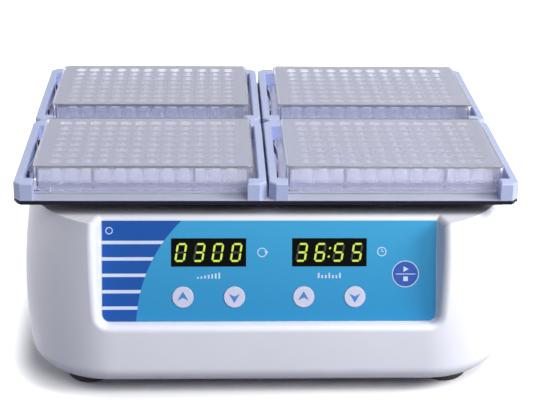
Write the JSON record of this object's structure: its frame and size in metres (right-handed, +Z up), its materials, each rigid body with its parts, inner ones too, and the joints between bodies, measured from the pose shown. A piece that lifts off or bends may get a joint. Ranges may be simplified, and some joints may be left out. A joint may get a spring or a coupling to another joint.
{
  "type": "microplate shaker",
  "caption": "Bench orbital shaker for microplates: rounded housing with a sloping key panel under a flat orbiting tray with plate brackets and lidded plates.",
  "frame": {"origin": "on the bench, under the middle of the housing", "axes": "+X to the right as the panel is read, +Y to the back, +Z up"},
  "size_m": [0.2846, 0.2642, 0.1259],
  "materials": {
    "housing": "moulded satin",
    "base": "powder coated",
    "foot": "matt",
    "steel_screw": "bright zinc",
    "frame": "milled",
    "motor": "satin",
    "rotor": "ground",
    "barrel": "turned",
    "bearing": "ground",
    "shaft": "ground",
    "counterweight": "turned",
    "tray": "anodised, dark edge",
    "bracket": "moulded satin",
    "spring": "spring steel",
    "polystyrene": "clear",
    "lid_clear": "clear",
    "overlay": "printed film",
    "window": "smoked",
    "led": "moulded",
    "board": "coated board",
    "switch_body": "moulded",
    "key": "moulded",
    "start_key": "moulded",
    "socket": "moulded",
    "contact": "plated",
    "rocker": "moulded",
    "standoff": "turned",
    "transformer": "wound core",
    "capacitor": "sleeved",
    "ribbon": "flat cable",
    "label": "bare foil"
  },
  "bodies": {
    "root": {"housing_shell": "housing", "base_plate": "base", "rubber_feet": "foot", "foot_screws": "steel_screw", "base_screws": "steel_screw", "frame_screws": "steel_screw", "bearing_frame": "frame", "frame_pillars": "frame", "motor_stand": "frame", "motor_body": "motor", "main_bearing_barrel": "barrel", "idler_blocks": "barrel", "main_bearings": "bearing", "idler_lower_bearings": "bearing", "control_overlay": "overlay", "display_windows": "window", "led_displays": "led", "control_board": "board", "supply_board": "board", "key_switches": "switch_body", "inlet_socket": "socket", "switch_frame": "socket", "inlet_pins": "contact", "board_standoffs": "standoff", "power_transformer": "transformer", "capacitors": "capacitor", "ribbon_cable": "ribbon", "rating_plate": "label"},
    "drive_crank": {"drive_shaft": "shaft", "motor_rotor": "rotor", "counterweight": "counterweight"},
    "tray": {"tray_plate": "tray", "tray_hub": "barrel", "hub_bearing": "bearing", "idler_sockets": "barrel", "idler_upper_bearings": "bearing", "tray_screws": "steel_screw", "bracket_screws": "steel_screw", "plate_brackets_left": "bracket", "plate_brackets_right": "bracket", "leaf_springs": "spring", "spring_screws": "steel_screw"},
    "idler_front_left": {"idler_crank_front_left": "shaft"},
    "plate_front_left": {"microplate_front_left": "polystyrene"},
    "cover_front_left": {"lid_front_left": "lid_clear"},
    "idler_front_right": {"idler_crank_front_right": "shaft"},
    "plate_front_right": {"microplate_front_right": "polystyrene"},
    "cover_front_right": {"lid_front_right": "lid_clear"},
    "idler_rear_left": {"idler_crank_rear_left": "shaft"},
    "plate_rear_left": {"microplate_rear_left": "polystyrene"},
    "cover_rear_left": {"lid_rear_left": "lid_clear"},
    "idler_rear_right": {"idler_crank_rear_right": "shaft"},
    "plate_rear_right": {"microplate_rear_right": "polystyrene"},
    "cover_rear_right": {"lid_rear_right": "lid_clear"},
    "speed_up_key": {"speed_up_button": "key"},
    "speed_down_key": {"speed_down_button": "key"},
    "time_up_key": {"time_up_button": "key"},
    "time_down_key": {"time_down_button": "key"},
    "start_stop_key": {"start_stop_button": "start_key"},
    "rocker": {"power_rocker": "rocker"}
  },
  "joints": [
    {"name": "drive_turn", "type": "hinge", "parent": "root", "child": "drive_crank", "pos_m": [0, 0, 0.075], "axis": [0, 0, 1], "continuous": true},
    {"name": "tray_orbit", "type": "hinge", "parent": "drive_crank", "child": "tray", "pos_m": [-0.0015, 0, 0.098], "axis": [0, 0, 1], "continuous": true},
    {"name": "idler_turn_front_left", "type": "hinge", "parent": "root", "child": "idler_front_left", "pos_m": [-0.072, -0.056, 0.078], "axis": [0, 0, 1], "continuous": true},
    {"name": "idler_turn_front_right", "type": "hinge", "parent": "root", "child": "idler_front_right", "pos_m": [0.072, -0.056, 0.078], "axis": [0, 0, 1], "continuous": true},
    {"name": "idler_turn_rear_left", "type": "hinge", "parent": "root", "child": "idler_rear_left", "pos_m": [-0.072, 0.056, 0.078], "axis": [0, 0, 1], "continuous": true},
    {"name": "idler_turn_rear_right", "type": "hinge", "parent": "root", "child": "idler_rear_right", "pos_m": [0.072, 0.056, 0.078], "axis": [0, 0, 1], "continuous": true},
    {"name": "plate_lift_front_left", "type": "slide", "parent": "tray", "child": "plate_front_left", "axis": [0, 0, 1], "range_m": [0, 0.03]},
    {"name": "lid_lift_front_left", "type": "slide", "parent": "plate_front_left", "child": "cover_front_left", "axis": [0, 0, 1], "range_m": [0, 0.02]},
    {"name": "plate_lift_front_right", "type": "slide", "parent": "tray", "child": "plate_front_right", "axis": [0, 0, 1], "range_m": [0, 0.03]},
    {"name": "lid_lift_front_right", "type": "slide", "parent": "plate_front_right", "child": "cover_front_right", "axis": [0, 0, 1], "range_m": [0, 0.02]},
    {"name": "plate_lift_rear_left", "type": "slide", "parent": "tray", "child": "plate_rear_left", "axis": [0, 0, 1], "range_m": [0, 0.03]},
    {"name": "lid_lift_rear_left", "type": "slide", "parent": "plate_rear_left", "child": "cover_rear_left", "axis": [0, 0, 1], "range_m": [0, 0.02]},
    {"name": "plate_lift_rear_right", "type": "slide", "parent": "tray", "child": "plate_rear_right", "axis": [0, 0, 1], "range_m": [0, 0.03]},
    {"name": "lid_lift_rear_right", "type": "slide", "parent": "plate_rear_right", "child": "cover_rear_right", "axis": [0, 0, 1], "range_m": [0, 0.02]},
    {"name": "speed_up_press", "type": "slide", "parent": "root", "child": "speed_up_key", "axis": [0, 0.9455, -0.3256], "range_m": [0, 0.0004], "stiffness_N_per_m": 2000},
    {"name": "speed_down_press", "type": "slide", "parent": "root", "child": "speed_down_key", "axis": [0, 0.9455, -0.3256], "range_m": [0, 0.0004], "stiffness_N_per_m": 2000},
    {"name": "time_up_press", "type": "slide", "parent": "root", "child": "time_up_key", "axis": [0, 0.9455, -0.3256], "range_m": [0, 0.0004], "stiffness_N_per_m": 2000},
    {"name": "time_down_press", "type": "slide", "parent": "root", "child": "time_down_key", "axis": [0, 0.9455, -0.3256], "range_m": [0, 0.0004], "stiffness_N_per_m": 2000},
    {"name": "start_stop_press", "type": "slide", "parent": "root", "child": "start_stop_key", "axis": [0, 0.9455, -0.3256], "range_m": [0, 0.0004], "stiffness_N_per_m": 2000},
    {"name": "rocker_tilt", "type": "hinge", "parent": "root", "child": "rocker", "pos_m": [0.02, 0.118, 0.042], "axis": [1, 0, 0], "range_deg": [-20, 0]}
  ],
  "couplings": [
    {"joint": "tray_orbit", "follows": "drive_turn", "ratio": -1},
    {"joint": "idler_turn_front_left", "follows": "drive_turn", "ratio": 1},
    {"joint": "idler_turn_front_right", "follows": "drive_turn", "ratio": 1},
    {"joint": "idler_turn_rear_left", "follows": "drive_turn", "ratio": 1},
    {"joint": "idler_turn_rear_right", "follows": "drive_turn", "ratio": 1}
  ]
}
